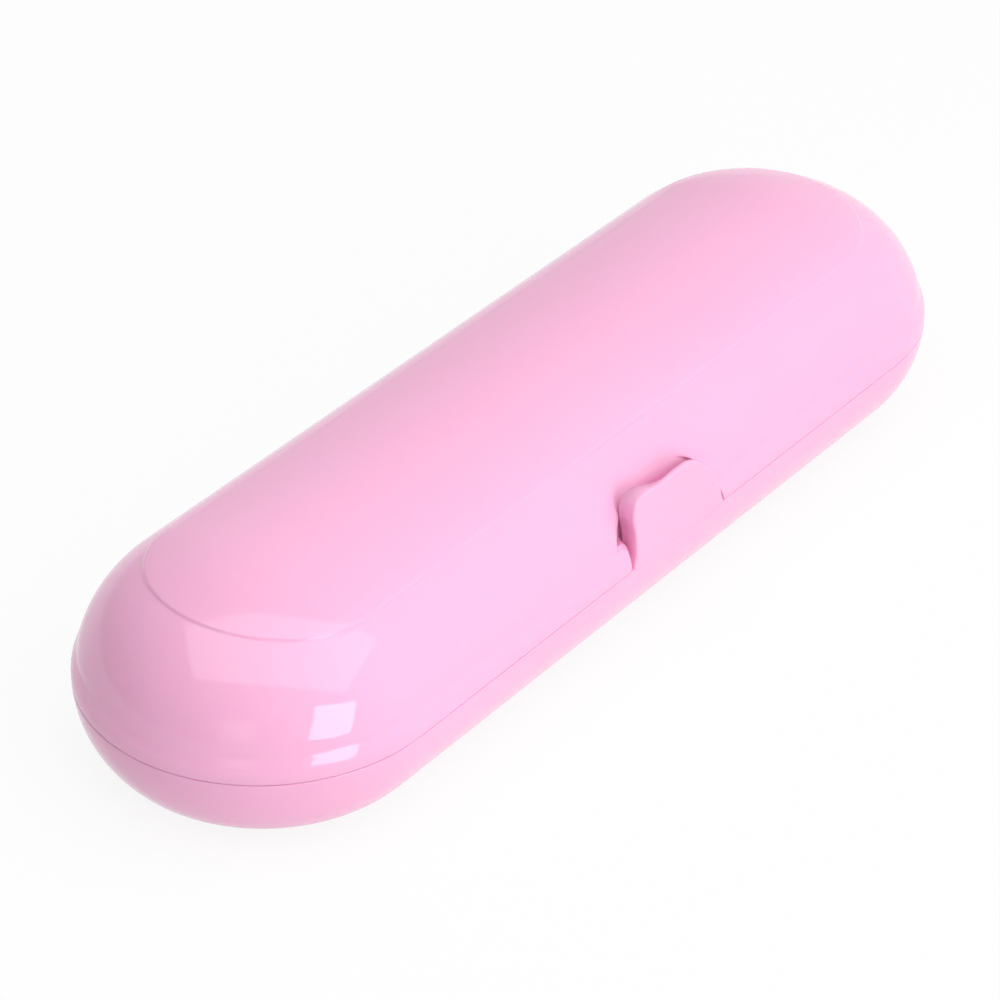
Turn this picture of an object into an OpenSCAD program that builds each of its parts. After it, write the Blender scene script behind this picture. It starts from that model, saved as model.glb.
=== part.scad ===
// Travel case for an electric toothbrush: two moulded half shells, hinged at the back,
// closed by a finger tab at the front.
// Origin: middle of the flat underside. X runs along the case, -Y is the latch side, +Z is up.

/* [Case] */
// Width of the case across the parting line
case_w = 68; // [62:0.5:76]
// Length of the case over its two round ends
case_l = 213.6; // [190:0.2:240]
// Height of the dome's crown, without the raised panel
case_h = 40; // [38.5:0.1:44]
// Wall thickness of both shells
wall = 1.8; // [1.4:0.1:2.2]

/* [Base shell] */
// Height of the parting line
base_h = 16.2; // [15:0.1:18]
// Distance over which the flat bottom curves out to the side wall
corner_run = 12; // [11:0.1:13.5]
// Radius of the lower corner, before it opens into the side wall
corner_r = 9.5; // [9:0.1:10]

/* [Lid shell] */
// Height of the rim band above the parting line
band_h = 4.5; // [3.5:0.1:5.5]
// Distance the rim band draws in before the crease
band_draw = 0.8; // [0.5:0.1:1.2]
// Radius of the arc over the crown
crown_r = 53.5; // [52:0.5:60]
// Radius of the arc at the shoulder, above the crease
shoulder_r = 24.5; // [22:0.5:26]
// Half width of the raised panel on the crown
panel_r = 22.2; // [18:0.1:24]
// Rise of the raised panel over the dome
panel_rise = 0.5; // [0.3:0.1:0.8]

/* [Registration lip] */
// Height of the lip above the parting line
lip_h = 1.2; // [0.8:0.1:2]
// Thickness of the lip
lip_t = 1.0; // [0.8:0.1:1.4]
// Gap between the lip and the inside of the lid
lip_gap = 0.35; // [0.3:0.05:0.5]

/* [Latch] */
// Sideways place of the tab's middle
latch_x = 0.4; // [-6:0.1:6]
// Height of the tab above the parting line
tab_h = 15; // [12:0.1:16]
// Half width of the tab at its root
tab_half_w = 13.6; // [11:0.1:15]
// Thickness of the tab
tab_t = 2.4; // [2:0.1:2.8]
// Height of the hook's underside above the parting line
hook_z = 7; // [5.8:0.1:8]
// Reach of the hook behind the tab
hook_reach = 0.9; // [0.7:0.1:1.1]
// Length of the hook along the case
hook_l = 12; // [8:0.5:14]
// Gap between the hook and the strike wall that it holds
hook_gap = 0.3; // [0.2:0.05:0.4]
// Gap between the tab and the rim band beside it
tab_gap = 0.35; // [0.3:0.05:0.6]

/* [Finger recess] */
// Half width of the recess
recess_half_w = 15.3; // [14.4:0.1:18]
// Height of the recess's arch above the parting line
recess_h = 15.3; // [13:0.1:16]
// Clear depth between the tab's back and the recess floor, at the foot
recess_foot = 1.6; // [1.2:0.1:2.4]
// Clear depth between the tab's back and the recess floor, at the hook and above
recess_depth = 4.6; // [4.2:0.1:5.2]

/* [Hinges] */
// Distance of each hinge from the middle of the case
hinge_x = 46; // [30:1:56]
// Radius of the hinge barrels
barrel_r = 2.6; // [2.2:0.1:3]
// Radius of the hinge pins
pin_r = 1.0; // [0.8:0.05:1.2]
// Length of one hinge
hinge_l = 22; // [16:1:28]
// Length of the lid's knuckle in the middle of each hinge
lid_knuckle_l = 10; // [6:0.5:12]
// Gap between neighbouring knuckles, and between a barrel and the other shell
hinge_gap = 0.3; // [0.2:0.05:0.5]
// Radial clearance of the pin in the lid's knuckle
pin_clearance = 0.06; // [0.03:0.01:0.1]
// Radial clearance of the pin in the base's knuckles
pin_press = 0.01; // [0.01:0.005:0.02]

/* [Brush handle] */
// Radius of the brush handle that the case holds
handle_r = 14.5; // [13:0.1:15]
// Distance of the handle's axis from the case's hinge side
handle_in = 23; // [22:0.5:25]
// Height of the handle's axis above the floor of the base
handle_lift = 16.8; // [16.2:0.1:17.6]
// Gap round the handle in its cradles and ribs
handle_gap = 0.5; // [0.3:0.1:1]
// Radius of the handle at its narrower front end
handle_neck_r = 12.5; // [11:0.1:13]
// Width of a cradle or rib beside the handle
cradle_side = 2.5; // [2:0.1:3]
// Distance of the rear cradle from the case's left end
cradle_rear_in = 44.8; // [38:0.2:60]
// Distance of the front cradle from the case's right end
cradle_front_in = 54.8; // [40:0.2:66]

/* [Brush heads] */
// Radius of a brush head's neck
head_neck_r = 3.2; // [2.8:0.1:3.6]
// Distance of the heads' axis from the case's latch side
head_in = 17; // [16:0.1:18]
// Height of the heads' axis above the floor of the base
head_lift = 8.2; // [7:0.1:10]
// Distance of each head clip from the middle of the case
head_clip_x = 42; // [25:1:60]
// Width of a head clip across the case
head_clip_w = 13; // [11.5:0.1:15]

/* [Inner plates] */
// Thickness of the cradles, clips and ribs
plate_t = 2.4; // [2:0.1:3]
// Gap between an inner plate and the shell or rail that holds it
plate_gap = 0.05; // [0.02:0.01:0.1]
// Thickness of the guide rails
rail_t = 1.2; // [1:0.1:1.6]
// Depth of the guide rails
rail_h = 3; // [2:0.1:4]

/* [Hidden] */
$fn = 96;
// Overlap between shapes that are joined, and overrun of a cut past a face.
eps = 0.2;
cut = 4;
// Larger than the case in every direction.
far = 400;
half_w = case_w / 2;
end_x = (case_l - case_w) / 2;

// Base profile: a side arc that stands upright at the parting line, then the corner arc.
corner_c = [half_w - corner_run, corner_r];
side_r = (pow(corner_run, 2) - pow(corner_r, 2) + pow(base_h - corner_r, 2)) / (2 * (corner_run - corner_r));
side_c = [half_w - side_r, base_h];

// Lid profile: rim band arc, crease, shoulder arc and crown arc.
crease = [half_w - band_draw, base_h + band_h];
band_r = (pow(band_h, 2) + pow(band_draw, 2)) / (2 * band_draw);
crown_c = [0, case_h - crown_r];
shoulder_c = circles_meet(crown_c, crown_r - shoulder_r, crease, shoulder_r);

// Latch: the tab stands on the rim, its front face flush with the widest part of the base.
tab_front = -half_w;
tab_back = tab_front + tab_t;
hook_h = 2.4;
hook_tip_h = 0.8;
strike_face = tab_back + hook_gap;
strike_top = base_h + hook_z - hook_gap;
// The strike wall is longer than the hook by this much at each end.
strike_over = 1;
strike_half_l = hook_l / 2 + strike_over;
// The recess lies this far to the left of the tab's middle.
recess_shift = 1.2;
recess_x = latch_x - recess_shift;
floor_foot = tab_back + recess_foot;
floor_back = tab_back + recess_depth;
// Height above the parting line at which the recess floor has reached its full depth.
floor_bend = 8;
shelf_h = 2;
// The shelf under the recess is longer than the recess by this much at each end.
shelf_over = 1.5;
shelf_half_l = recess_half_w + wall + shelf_over;
notch_corner_r = 1.5;
// Angle between neighbouring points of the recess's arch.
arch_step = 6;
// Inner plates of the base end this far below the parting line, and those of the lid start above it.
plate_drop = 1;
rib_rise = 4;
handle_y = half_w - handle_in;
handle_z = wall + handle_lift;
cradle_w = 2 * (handle_r + cradle_side);
cradle_y = handle_y - cradle_w / 2;
cradle_rear_x = cradle_rear_in - case_l / 2;
cradle_front_x = case_l / 2 - cradle_front_in;
head_y = head_in - half_w;
head_z = wall + head_lift;
clip_y = head_y - head_clip_w / 2;
// Width of a clip's mouth, as a share of the neck that it grips.
clip_mouth_share = 0.85;

// The lip is rooted in the base's wall over this height below the parting line.
lip_root = 2;
lip_out = half_w - wall - lip_gap;

// Hinges: the axis lies at the parting line, outside the wall. Each web is taller at the wall.
hinge_y = half_w + hinge_gap + barrel_r;
web_flare = 2.6;
web_in = 1.3;
base_knuckle_l = (hinge_l - lid_knuckle_l) / 2 - hinge_gap;
hinge_places = [-hinge_x, hinge_x];

// The wavy outline of the tab's front face, in shares of its half width and its height,
// read from the left end of the root, over the left lobe, to the right end of the root.
// The curve passes through every point.
root_left_share = 0.88;
lobe_left_share = 0.96;
root_right_share = 1.13;
outline_steps = 6;
// Sides of the notch in the rim band, clear of the tab's left lobe and of the right end of its root.
notch_left = latch_x - tab_half_w * lobe_left_share - tab_gap;
notch_right = latch_x + tab_half_w * root_right_share + tab_gap;
tab_outline = [
    [-root_left_share, 0], [-0.84, 0.17], [-0.87, 0.45], [-lobe_left_share, 0.74], [-0.90, 0.94],
    [-0.68, 1.01], [-0.36, 0.97], [-0.02, 0.99], [0.30, 0.97], [0.56, 0.84],
    [0.80, 0.62], [0.98, 0.36], [1.08, 0.14], [root_right_share, 0],
];

// Upper right meeting point of a circle about a and a circle about b.
function circles_meet(a, ra, b, rb) =
    let (
        d = norm(b - a),
        u = (b - a) / d,
        along = (d * d + ra * ra - rb * rb) / (2 * d),
        across = sqrt(ra * ra - along * along)
    )
    a + u * along + [-u[1], u[0]] * across;

// Point at t between p1 and p2 on a smooth curve through p0, p1, p2 and p3.
function curve_point(p0, p1, p2, p3, t) =
    p1 + t * (p2 - p0) / 2
    + t * t * (p0 - 2.5 * p1 + 2 * p2 - p3 / 2)
    + t * t * t * (-p0 / 2 + 1.5 * p1 - 1.5 * p2 + p3 / 2);

// Smooth open curve through the points of a list, steps places to each span.
function curve(p, steps) =
    let (last = len(p) - 1)
    [
        for (i = [0 : last - 1])
            for (k = [0 : steps - 1])
                curve_point(p[max(i - 1, 0)], p[i], p[i + 1], p[min(i + 2, last)], k / steps),
        p[last],
    ];

// Direction from one point to another, run out past the case.
function beyond(from, to) = from + (to - from) / norm(to - from) * far;

// Sweeps an upright profile, drawn with its inner side at x = 0, round the stadium plan.
module stadium_sweep() {
    for (side = [0, 1]) {
        mirror([side, 0, 0])
            translate([end_x, 0, 0]) rotate([0, 0, -90]) rotate_extrude(angle = 180) children();
        mirror([0, side, 0])
            translate([-end_x, 0, 0]) rotate([90, 0, 90]) linear_extrude(2 * end_x) children();
    }
}

// Sweeps a profile of (y, z) along X for a plate of thickness t whose middle is at x.
module along_x(x, t) {
    translate([x - t / 2, 0, 0]) rotate([90, 0, 90]) linear_extrude(t) children();
}

// Sweeps a front view of (x, z) backwards, from the place y_front to the place y_back.
module along_y(y_front, y_back) {
    translate([0, y_back, 0]) rotate([90, 0, 0]) linear_extrude(y_back - y_front) children();
}

// Area inside the base's outline, drawn in by gap. It ends at the parting line.
// The flat bottom, the side arc and the corner circle overlap. It may reach past the middle.
module base_area(gap, past = 0) {
    translate([-past, gap]) square([past + corner_c[0], base_h - gap]);
    intersection() {
        translate(side_c) circle(side_r - gap);
        polygon([side_c, beyond(side_c, corner_c), [far, 0], [far, base_h]]);
    }
    intersection() {
        translate(corner_c) circle(corner_r - gap);
        translate([0, base_h - far]) square([far, far]);
    }
}

// Area inside the dome's outline, drawn in by gap, down to the height z_low.
// The shoulder circle touches the crown arc from inside, so all of it belongs to the dome.
module dome_area(gap, z_low, past = 0) {
    intersection() {
        union() {
            intersection() {
                translate(crown_c) circle(crown_r - gap);
                polygon([crown_c - [past, 0], crown_c, beyond(crown_c, shoulder_c), [-past, far]]);
            }
            translate(shoulder_c) circle(shoulder_r - gap);
        }
        translate([-past, z_low]) square([far, far]);
    }
}

// Area of the rim band, out to its drawn-in arc.
module band_area() {
    intersection() {
        translate([half_w - band_r, base_h]) circle(band_r);
        translate([0, base_h]) square([half_w, band_h]);
    }
}

// The dome, with the panel raised on its crown.
module lid_outside() {
    dome_area(0, crease[1] - eps);
    intersection() {
        dome_area(-panel_rise, crease[1]);
        square([panel_r, far]);
    }
}

// Front view of the finger recess: an arch above the rim band.
module arch(grow) {
    intersection() {
        translate([recess_x, base_h + band_h])
            polygon([
                for (a = [0 : arch_step : 360 - arch_step])
                    [(recess_half_w + grow) * cos(a), (recess_h - band_h + grow) * sin(a)]
            ]);
        translate([-far, base_h + band_h - eps]) square([2 * far, far]);
    }
}

// Front view of the notch that the tab stands in, with a rounded end on the band at its left.
module notch() {
    polygon([
        [notch_left, base_h - cut],
        [notch_right, base_h - cut],
        [notch_right, base_h],
        [recess_x + recess_half_w, crease[1]],
        [notch_left, crease[1]],
    ]);
    difference() {
        translate([notch_left - notch_corner_r, crease[1] - notch_corner_r]) square(notch_corner_r + eps);
        translate([notch_left - notch_corner_r, crease[1] - notch_corner_r]) circle(notch_corner_r);
    }
}

// Side view of the space in front of the recess floor, moved back by shift.
module before_floor(shift) {
    polygon([
        [-far, base_h - cut],
        [floor_foot + shift, base_h - cut],
        [floor_foot + shift, base_h],
        [floor_back + shift, base_h + floor_bend],
        [floor_back + shift, far],
        [-far, far],
    ]);
}

// One hinge knuckle about the hinge axis. The web joins it to the wall, upwards or downwards.
module knuckle(x, l, up) {
    wall_in = half_w - web_in;
    along_x(x, l) {
        translate([hinge_y, base_h]) circle(barrel_r);
        polygon([
            [wall_in, base_h],
            [hinge_y, base_h],
            [hinge_y, base_h + up * barrel_r],
            [wall_in, base_h + up * (barrel_r + web_flare)],
        ]);
    }
}

// Bore along the hinge axis.
module pin_bore(x, l, r) {
    translate([x, hinge_y, base_h]) rotate([0, 90, 0]) cylinder(h = l, r = r, center = true);
}

// Two rails that hold an inner plate between them, swept from an area of (y, z).
module rails(x) {
    for (side = [-1, 1])
        along_x(x + side * (plate_t / 2 + plate_gap + rail_t / 2), rail_t) children();
}

// Side view of the base's inside, over the whole width, drawn in by gap.
module base_section(gap) {
    base_area(gap, eps);
    mirror([1, 0]) base_area(gap, eps);
}

// Side view of the lid's inside, over the whole width, drawn in by gap, down to z_low.
module lid_section(gap, z_low) {
    dome_area(gap, z_low, eps);
    mirror([1, 0]) dome_area(gap, z_low, eps);
}

// Side view of the handle, with its gap.
module handle_area(r) {
    translate([handle_y, handle_z]) circle(r + handle_gap);
}

module base_shell() {
    color("#f7b4da") difference() {
        union() {
            stadium_sweep() difference() {
                base_area(0);
                base_area(wall);
            }
            difference() {
                stadium_sweep() {
                    translate([lip_out - lip_t, base_h - lip_root]) square([lip_t, lip_root + lip_h]);
                    translate([lip_out - eps, base_h - lip_root]) square([lip_gap + 2 * eps, lip_root]);
                }
                translate([latch_x - shelf_half_l, -far, base_h]) cube([2 * shelf_half_l, far, far]);
            }
            translate([latch_x - shelf_half_l, tab_front + wall / 2, base_h - shelf_h])
                cube([2 * shelf_half_l, floor_foot + wall - tab_front - wall / 2, shelf_h]);
            for (x = hinge_places)
                for (side = [-1, 1])
                    knuckle(x + side * (hinge_l - base_knuckle_l) / 2, base_knuckle_l, -1);
            for (x = [cradle_rear_x, cradle_front_x])
                rails(x) intersection() {
                    base_section(wall - eps);
                    translate([cradle_y, 0]) square([cradle_w, wall + rail_h]);
                }
            for (x = [-head_clip_x, head_clip_x])
                rails(x)
                    translate([clip_y, wall - eps]) square([head_clip_w, rail_h + eps]);
        }
        for (x = hinge_places)
            pin_bore(x, hinge_l + cut, pin_r + pin_press);
    }
}

module lid_shell() {
    color("#fbc2e2") difference() {
        union() {
            difference() {
                union() {
                    stadium_sweep() difference() {
                        union() {
                            lid_outside();
                            band_area();
                        }
                        dome_area(wall, 0);
                    }
                    // Floor and sides of the finger recess.
                    intersection() {
                        stadium_sweep() union() {
                            lid_outside();
                            band_area();
                        }
                        along_x(0, 2 * shelf_half_l) before_floor(wall);
                        along_y(-half_w - cut, 0) {
                            arch(wall);
                            polygon([
                                [recess_x - recess_half_w - wall, base_h],
                                [notch_right + wall, base_h],
                                [recess_x + recess_half_w + wall, crease[1]],
                                [recess_x - recess_half_w - wall, crease[1]],
                            ]);
                        }
                    }
                }
                intersection() {
                    along_x(0, 2 * shelf_half_l) before_floor(0);
                    along_y(-half_w - cut, 0) {
                        arch(0);
                        notch();
                    }
                }
            }
            // Strike wall: the tab's hook lies over its top edge.
            translate([latch_x - strike_half_l, strike_face, base_h])
                cube([2 * strike_half_l, floor_foot + wall / 2 - strike_face, strike_top - base_h]);
            for (x = hinge_places)
                knuckle(x, lid_knuckle_l, 1);
            for (x = [cradle_rear_x, cradle_front_x])
                rails(x) intersection() {
                    difference() {
                        lid_section(wall - eps, base_h);
                        lid_section(wall + rail_h, base_h);
                    }
                    translate([cradle_y, base_h]) square([cradle_w, far]);
                }
        }
        for (x = hinge_places)
            pin_bore(x, lid_knuckle_l + cut, pin_r + pin_clearance);
    }
}

module latch_tab() {
    hook_tip = tab_back + hook_reach + hook_gap;
    color("#f9bbde") {
        along_y(tab_front, tab_back)
            polygon([
                for (p = curve(tab_outline, outline_steps))
                    [latch_x + p[0] * tab_half_w, base_h + p[1] * tab_h]
            ]);
        // Hook: flat underneath, sloped on top.
        along_x(latch_x, hook_l)
            polygon([
                [tab_back - eps, base_h + hook_z],
                [hook_tip, base_h + hook_z],
                [hook_tip, base_h + hook_z + hook_tip_h],
                [tab_back - eps, base_h + hook_z + hook_h],
            ]);
    }
}

module hinge_pin(x) {
    color("silver") pin_bore(x, hinge_l, pin_r);
}

module hinge_pin_left() {
    hinge_pin(-hinge_x);
}

module hinge_pin_right() {
    hinge_pin(hinge_x);
}

// Side view of a plate of width w that stands on the base's floor and ends below the parting line.
module base_plate_area(y, w) {
    intersection() {
        translate([0, -plate_gap]) base_section(wall + plate_gap);
        translate([y, 0]) square([w, base_h - plate_drop]);
    }
}

// Saddle in the base for a handle of radius r.
module handle_cradle(x, r) {
    color("#f3a9d2") along_x(x, plate_t) difference() {
        base_plate_area(cradle_y, cradle_w);
        handle_area(r);
    }
}

module handle_cradle_rear() {
    handle_cradle(cradle_rear_x, handle_r);
}

module handle_cradle_front() {
    handle_cradle(cradle_front_x, handle_neck_r);
}

// Fork in the base that grips a brush head's neck.
module head_clip(x) {
    slot_w = 2 * head_neck_r * clip_mouth_share;
    color("#f3a9d2") along_x(x, plate_t) difference() {
        base_plate_area(clip_y, head_clip_w);
        translate([head_y, head_z]) circle(head_neck_r);
        translate([head_y - slot_w / 2, head_z]) square([slot_w, base_h]);
    }
}

module head_clip_left() {
    head_clip(-head_clip_x);
}

module head_clip_right() {
    head_clip(head_clip_x);
}

// Rib in the lid that rests just over a handle of radius r.
module lid_rib(x, r) {
    color("#f9bbde") along_x(x, plate_t) difference() {
        intersection() {
            translate([0, plate_gap]) lid_section(wall + plate_gap, base_h + rib_rise);
            translate([cradle_y, base_h]) square([cradle_w, far]);
        }
        handle_area(r);
    }
}

module lid_rib_rear() {
    lid_rib(cradle_rear_x, handle_r);
}

module lid_rib_front() {
    lid_rib(cradle_front_x, handle_neck_r);
}

base_shell();
lid_shell();
latch_tab();
hinge_pin_left();
hinge_pin_right();
handle_cradle_rear();
handle_cradle_front();
head_clip_left();
head_clip_right();
lid_rib_rear();
lid_rib_front();
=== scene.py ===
# %% [markdown]
# # A travel case for an electric toothbrush
# The case is two glossy pink half shells with round ends, hinged along the back. A wavy tongue at the
# front grows out of the lower shell and snaps over the upper one. The measured solids come in first
# and hold every place and size, so that each softer, shinier piece made below only has to follow them.

# %% Load the measured solids
import math

import bmesh
import bpy
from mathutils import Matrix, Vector


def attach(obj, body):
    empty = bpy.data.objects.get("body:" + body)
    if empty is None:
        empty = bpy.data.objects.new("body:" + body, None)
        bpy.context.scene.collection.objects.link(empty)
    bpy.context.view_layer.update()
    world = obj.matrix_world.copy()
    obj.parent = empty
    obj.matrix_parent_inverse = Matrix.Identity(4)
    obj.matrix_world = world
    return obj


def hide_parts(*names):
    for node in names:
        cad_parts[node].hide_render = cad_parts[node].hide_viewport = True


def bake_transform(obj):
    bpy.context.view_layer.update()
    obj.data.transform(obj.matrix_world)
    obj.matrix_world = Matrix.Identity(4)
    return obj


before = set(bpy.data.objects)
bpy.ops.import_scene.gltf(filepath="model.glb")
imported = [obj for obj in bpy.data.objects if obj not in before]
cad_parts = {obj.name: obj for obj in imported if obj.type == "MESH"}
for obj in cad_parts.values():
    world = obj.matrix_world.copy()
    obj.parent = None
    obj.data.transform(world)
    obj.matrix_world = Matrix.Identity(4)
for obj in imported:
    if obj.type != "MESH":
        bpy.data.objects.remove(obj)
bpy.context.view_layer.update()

# %% [markdown]
# ## Colours
# The whole case is one pale pink resin, and only the hinge pins are steel. A colour listed here is
# written the way screens store it, which is not how light adds up, so one function straightens it.

# %% Straighten a screen colour
def light_colour(code):
    """Turns a colour such as #F8B8DC into the shares of light that a shader mixes."""
    shares = [int(code[i:i + 2], 16) / 255 for i in (1, 3, 5)]
    return tuple(s / 12.92 if s <= 0.04045 else ((s + 0.055) / 1.055) ** 2.4 for s in shares) + (1,)


PINK_RESIN = light_colour("#FAB8DB")
DEEP_PINK = light_colour("#F8B2D6")
DRAWN_STEEL = light_colour("#C4C6C8")
DARK_STEEL = light_colour("#9EA1A4")
print("pink resin sends back", [round(c, 3) for c in PINK_RESIN[:3]])

# %% [markdown]
# ## Moulded plastic
# Polypropylene pressed against a polished mould comes out glossy, with a very faint waviness where the
# wall shrank as it cooled. Light goes a short way in and comes out pinker, so thin and shaded places
# glow warm. Inside, the mould is only matt, which gives a satin face. Noise in real millimetres makes
# both: a wide one bends the reflections a little, and a fine one is the skin itself.

# %% A small helper for nodes
def add_node(tree, kind, links=None, **settings):
    """Adds one node, sets its named sockets or properties, and wires links = {socket: output}."""
    node = tree.nodes.new(kind)
    for name, value in settings.items():
        socket = node.inputs.get(name.replace("_", " "))
        if socket is None:
            setattr(node, name, value)
        else:
            socket.default_value = value
    for name, output in (links or {}).items():
        tree.links.new(output, node.inputs[name])
    return node


def mix_colours(tree, share, first, second):
    """Mixes two colours by a share, through the node's colour sockets: 6 and 7 go in, 2 comes out."""
    mix = add_node(tree, "ShaderNodeMix", {"Factor": share}, data_type="RGBA")
    mix.inputs[6].default_value = first
    mix.inputs[7].default_value = second
    return mix.outputs[2]


# %% Mould a plastic
MM = 0.001  # one millimetre, in the scene's metres
FLOW_MM = 45


def add_noise(tree, place, size_mm, detail):
    """A noise with patches about size_mm wide, as its grey value."""
    noise = add_node(tree, "ShaderNodeTexNoise", {"Vector": place}, Scale=1 / (size_mm * MM), Detail=detail)
    return noise.outputs["Fac"]


def mould_plastic(name, colour, deeper, gloss, ripple_mm, grain_mm, grain_depth_mm):
    """A moulded plastic: colour, roughness span, and the sizes of its ripple and its grain."""
    plastic = bpy.data.materials.new(name)
    plastic.use_nodes = True
    tree = plastic.node_tree
    tree.nodes.clear()
    place = add_node(tree, "ShaderNodeTexCoord").outputs["Object"]
    # Flow: the resin's tint drifts a few percent over some centimetres, as it filled the mould.
    flow = add_noise(tree, place, FLOW_MM, 2.0)
    tint = mix_colours(tree, flow, colour, deeper)
    # Ripple: sink and shrinkage, seen only as a slight bend in the reflections.
    ripple = add_noise(tree, place, ripple_mm, 1.0)
    grain = add_noise(tree, place, grain_mm, 3.0)
    swell = add_node(tree, "ShaderNodeBump", {"Height": ripple}, Strength=1.0, Distance=0.03 * MM)
    skin = add_node(tree, "ShaderNodeBump", {"Height": grain, "Normal": swell.outputs["Normal"]},
                    Strength=1.0, Distance=grain_depth_mm * MM)
    # Polish: a mould is never polished evenly, so the roughness wanders between two values.
    polish = add_node(tree, "ShaderNodeMapRange", {"Value": flow},
                      From_Min=0.35, From_Max=0.65, To_Min=gloss[0], To_Max=gloss[1])
    resin = add_node(tree, "ShaderNodeBsdfPrincipled", {
        "Base Color": tint, "Roughness": polish.outputs["Result"], "Normal": skin.outputs["Normal"]},
        IOR=1.49, Subsurface_Weight=0.22, Subsurface_Scale=2.2 * MM, Subsurface_Radius=(1.0, 0.42, 0.55))
    add_node(tree, "ShaderNodeOutputMaterial", {"Surface": resin.outputs["BSDF"]})
    print(name, "roughness", gloss, "ripple", ripple_mm, "mm, grain", grain_mm, "mm")
    return plastic


glossy_shell = mould_plastic("glossy_moulded_polypropylene", PINK_RESIN, DEEP_PINK,
                             gloss=(0.045, 0.075), ripple_mm=14, grain_mm=0.9, grain_depth_mm=0.0004)
satin_inside = mould_plastic("satin_moulded_polypropylene", PINK_RESIN, DEEP_PINK,
                             gloss=(0.34, 0.44), ripple_mm=14, grain_mm=0.35, grain_depth_mm=0.004)

# %% [markdown]
# ## Drawn steel
# The pins are wire, pulled through a die and cut off. Drawing leaves fine lines along the wire, so the
# noise is squeezed along X: long streaks one way, a tenth of a millimetre the other way.

# %% Draw the steel
STREAK_MM, STREAK_SQUEEZE = 0.12, 0.04
pin_steel = bpy.data.materials.new("drawn_steel_wire")
pin_steel.use_nodes = True
steel_tree = pin_steel.node_tree
steel_tree.nodes.clear()
steel_place = add_node(steel_tree, "ShaderNodeTexCoord").outputs["Object"]
along_wire = add_node(steel_tree, "ShaderNodeMapping", {"Vector": steel_place},
                      Scale=(STREAK_SQUEEZE, 1.0, 1.0))
streaks = add_noise(steel_tree, along_wire.outputs["Vector"], STREAK_MM, 2.0)
draw_marks = add_node(steel_tree, "ShaderNodeBump", {"Height": streaks}, Strength=0.6, Distance=0.004 * MM)
wire_tint = mix_colours(steel_tree, streaks, DRAWN_STEEL, DARK_STEEL)
wire = add_node(steel_tree, "ShaderNodeBsdfPrincipled", {
    "Base Color": wire_tint, "Normal": draw_marks.outputs["Normal"]}, Metallic=1.0, Roughness=0.3)
add_node(steel_tree, "ShaderNodeOutputMaterial", {"Surface": wire.outputs["BSDF"]})
print("steel streaks", STREAK_MM, "mm wide and", STREAK_MM / STREAK_SQUEEZE, "mm long")

# %% [markdown]
# ## Hand tools
# Most pieces here start as a line: one point, extruded from place to place. A few small helpers keep
# that short. Everything is deselected before a new piece, because an operator acts on all that is
# selected. Lengths are in millimetres and turned to metres at the last moment.

# %% Start, draw and finish
def leave_edit_mode():
    if bpy.context.mode != "OBJECT":
        bpy.ops.object.mode_set(mode="OBJECT")


def clear_selection():
    leave_edit_mode()
    bpy.ops.object.select_all(action="DESELECT")


def select_everything():
    bpy.ops.mesh.select_all(action="SELECT")


def pull(step):
    """Extrudes what is selected by a step in mm."""
    bpy.ops.mesh.extrude_region_move(TRANSFORM_OT_translate={"value": [c * MM for c in step]})


def draw_line(name, points):
    """Starts from a small square merged to one point, and extrudes that point along points, in mm."""
    clear_selection()
    bpy.ops.mesh.primitive_plane_add(size=MM, location=[c * MM for c in points[0]])
    line = bpy.context.object
    line.name = line.data.name = name
    bpy.ops.object.transform_apply()
    bpy.ops.object.mode_set(mode="EDIT")
    select_everything()
    bpy.ops.mesh.merge(type="CENTER")
    for a, b in zip(points, points[1:]):
        pull([q - p for p, q in zip(a, b)])
    return line


def finish_piece(piece, body, material, slot, *nodes):
    """Leaves edit mode, gives the finish, and makes the piece ride on its body in place of nodes."""
    leave_edit_mode()
    piece.data.materials.clear()
    piece.data.materials.append(material)
    if body:
        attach(piece, body)
    if nodes:
        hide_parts(*nodes)
    print(piece.name, len(piece.data.polygons), "faces")
    return piece


def merge_and_face_out(gap=0.002):
    """Merges points that lie together and turns every face outwards."""
    select_everything()
    bpy.ops.mesh.remove_doubles(threshold=gap * MM)
    select_everything()
    bpy.ops.mesh.normals_make_consistent(inside=False)


# %% Walk along a wall
SUBSTEPS = 8


def smooth(t):
    """Goes softly from 0 to 1 as t does, and stays there beyond."""
    t = min(max(t, 0), 1)
    return t * t * (3 - 2 * t)


def walk(start, slope, legs):
    """Follows a curved wall seen from its end, from start = (distance out, height), in mm.
    Each leg is (length, slope at its end, steps): the slope turns evenly, in degrees from upright."""
    (out, up), places = start, [start]
    for length, end_slope, steps in legs:
        for i in range(steps):
            for j in range(SUBSTEPS):
                angle = math.radians(slope + (end_slope - slope) * (i + (j + 0.5) / SUBSTEPS) / steps)
                out -= math.sin(angle) * length / steps / SUBSTEPS
                up += math.cos(angle) * length / steps / SUBSTEPS
            places.append((out, up))
        slope = end_slope
    return places


def arc(centre, radius, start, end, steps):
    """Places on an arc, in mm. Angles are in degrees, from straight out towards straight up."""
    turns = [math.radians(start + (end - start) * i / steps) for i in range(steps + 1)]
    return [(centre[0] + radius * math.cos(a), centre[1] + radius * math.sin(a)) for a in turns]


# %% [markdown]
# ## The lid's wall
# Seen from its end, the lid's wall rises upright from the parting line, leans in over a narrow rim band,
# steps back in a soft crease and swells out again into the dome. Near the top a shallow step lifts a
# panel. The photograph's long reflection breaks at the crease and bends at the band, which shows how
# much each of them turns. So the wall is walked in legs whose slope turns evenly, which keeps such a
# reflection smooth.

# %% The lid's wall, seen from its end
PARTING = 16.2
HALF_WIDTH = 34
WALL = 1.8
RIM_ROUND = 0.2
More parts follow.
